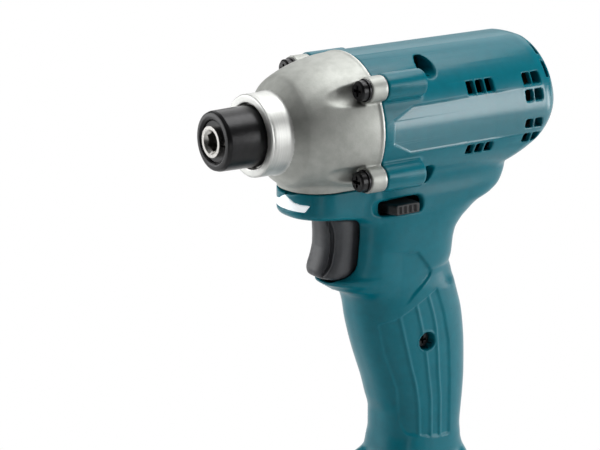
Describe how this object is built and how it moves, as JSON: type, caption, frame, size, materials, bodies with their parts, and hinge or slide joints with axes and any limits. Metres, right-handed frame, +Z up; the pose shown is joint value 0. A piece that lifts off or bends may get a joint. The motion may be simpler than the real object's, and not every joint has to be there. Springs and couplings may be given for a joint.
{
  "type": "cordless impact driver",
  "caption": "Cordless impact driver with a teal pistol-grip housing, cast hammer case, hex bit holder, trigger, reversing lever, work light and slide-on battery.",
  "frame": {"origin": "middle of the battery's flat underside, on the surface that the tool stands on", "axes": "+X forward along the tool axis towards the nose, +Y to the tool's left, +Z up"},
  "size_m": [0.1475, 0.074, 0.2364],
  "materials": {
    "teal_shell": "satin moulded shell with fine spark texture",
    "cast_case": "satin cast aluminium with a machined nose",
    "black_steel": "black oxide steel",
    "bright_steel": "ground steel",
    "tool_steel": "hardened dark steel",
    "bronze": "sintered bronze",
    "copper": "enamelled copper",
    "magnet": "ferrite",
    "carbon": "pressed carbon",
    "seal_rubber": "black rubber",
    "black_plastic": "black moulded plastic",
    "trigger_plastic": "dark grey moulded plastic",
    "brown_resin": "phenolic resin",
    "lens": "clear moulded lens, lit white",
    "board": "solder masked board",
    "lead_sheath": "silicone lead",
    "contact": "plated spring contact",
    "cell": "shrink-wrapped cell; aluminium's density is close to a cell's",
    "red_button": "red moulded plastic"
  },
  "bodies": {
    "tool": {"housing_left": "teal_shell", "housing_right": "teal_shell", "housing_screws": "black_steel", "hammer_case": "cast_case", "case_screws": "black_steel", "case_seal": "seal_rubber", "anvil_bush": "bronze", "anvil_washer": "bright_steel", "ring_gear": "tool_steel", "gear_case": "black_plastic", "spindle_bearing": "bright_steel", "motor_front_bearing": "bright_steel", "motor_can": "tool_steel", "motor_magnets": "magnet", "brush_holder": "brown_resin", "carbon_brushes": "carbon", "brush_springs": "bright_steel", "motor_rear_bearing": "bright_steel", "motor_leads": "lead_sheath", "switch_body": "black_plastic", "trigger_spring": "bright_steel", "light_lens": "lens", "light_board": "board", "terminal_block": "black_plastic", "terminal_blades": "contact", "battery_leads": "lead_sheath"},
    "anvil": {"anvil": "bright_steel", "sleeve_washer": "tool_steel", "sleeve_ring": "tool_steel", "bit_balls": "bright_steel", "sleeve_spring": "bright_steel"},
    "bit_sleeve": {"bit_sleeve": "black_steel"},
    "spindle": {"spindle": "tool_steel", "planet_pins": "bright_steel", "cam_balls": "bright_steel", "hammer_spring": "tool_steel"},
    "hammer": {"hammer": "tool_steel", "thrust_balls": "bright_steel", "spring_washer": "bright_steel"},
    "planet_gear_upper": {"planet_gear_upper": "tool_steel"},
    "planet_gear_lower": {"planet_gear_lower": "tool_steel"},
    "rotor": {"motor_shaft": "bright_steel", "pinion": "tool_steel", "fan": "black_plastic", "rotor_core": "tool_steel", "rotor_winding": "copper", "commutator": "copper"},
    "trigger": {"trigger": "trigger_plastic", "switch_plunger": "trigger_plastic"},
    "reversing_lever": {"reversing_lever": "black_plastic"},
    "battery": {"battery_lower_case": "black_plastic", "battery_upper_case": "black_plastic", "battery_cells": "cell", "cell_holder": "black_plastic", "cell_straps": "bright_steel", "battery_board": "board", "battery_contacts": "contact", "battery_screws": "black_steel", "latch_spring": "bright_steel"},
    "battery_button": {"battery_button": "red_button"}
  },
  "joints": [
    {"name": "spindle_spin", "type": "hinge", "parent": "tool", "child": "spindle", "pos_m": [0.032, 0, 0.2104], "axis": [1, 0, 0], "continuous": true},
    {"name": "anvil_spin", "type": "hinge", "parent": "tool", "child": "anvil", "pos_m": [0.032, 0, 0.2104], "axis": [1, 0, 0], "continuous": true},
    {"name": "rotor_spin", "type": "hinge", "parent": "tool", "child": "rotor", "pos_m": [0.032, 0, 0.2104], "axis": [1, 0, 0], "continuous": true},
    {"name": "planet_upper_spin", "type": "hinge", "parent": "spindle", "child": "planet_gear_upper", "pos_m": [0.032, 0, 0.22165], "axis": [1, 0, 0], "continuous": true},
    {"name": "planet_lower_spin", "type": "hinge", "parent": "spindle", "child": "planet_gear_lower", "pos_m": [0.032, 0, 0.19915], "axis": [1, 0, 0], "continuous": true},
    {"name": "hammer_slide", "type": "slide", "parent": "spindle", "child": "hammer", "axis": [-1, 0, 0], "range_m": [0, 0.007], "stiffness_N_per_m": 12000, "springref_m": -0.004, "deforming": ["hammer_spring"]},
    {"name": "sleeve_slide", "type": "slide", "parent": "anvil", "child": "bit_sleeve", "axis": [1, 0, 0], "range_m": [0, 0.004], "stiffness_N_per_m": 800, "springref_m": -0.002, "deforming": ["sleeve_spring"]},
    {"name": "trigger_pull", "type": "slide", "parent": "tool", "child": "trigger", "axis": [-1, 0, 0], "range_m": [0, 0.0055], "stiffness_N_per_m": 900, "springref_m": -0.003, "deforming": ["trigger_spring"]},
    {"name": "lever_swing", "type": "hinge", "parent": "tool", "child": "reversing_lever", "pos_m": [-0.002, 0, 0.1795], "axis": [0, 0, 1], "range_deg": [-6, 6]},
    {"name": "battery_slide", "type": "slide", "parent": "tool", "child": "battery", "axis": [1, 0, 0], "range_m": [0, 0.092]},
    {"name": "button_press", "type": "slide", "parent": "battery", "child": "battery_button", "axis": [0, 0, -1], "range_m": [0, 0.004], "stiffness_N_per_m": 700, "springref_m": -0.002, "deforming": ["latch_spring"]}
  ],
  "couplings": [
    {"joint": "anvil_spin", "follows": "spindle_spin", "ratio": 1},
    {"joint": "rotor_spin", "follows": "spindle_spin", "ratio": 6},
    {"joint": "planet_upper_spin", "follows": "spindle_spin", "ratio": -2.5},
    {"joint": "planet_lower_spin", "follows": "spindle_spin", "ratio": -2.5}
  ]
}
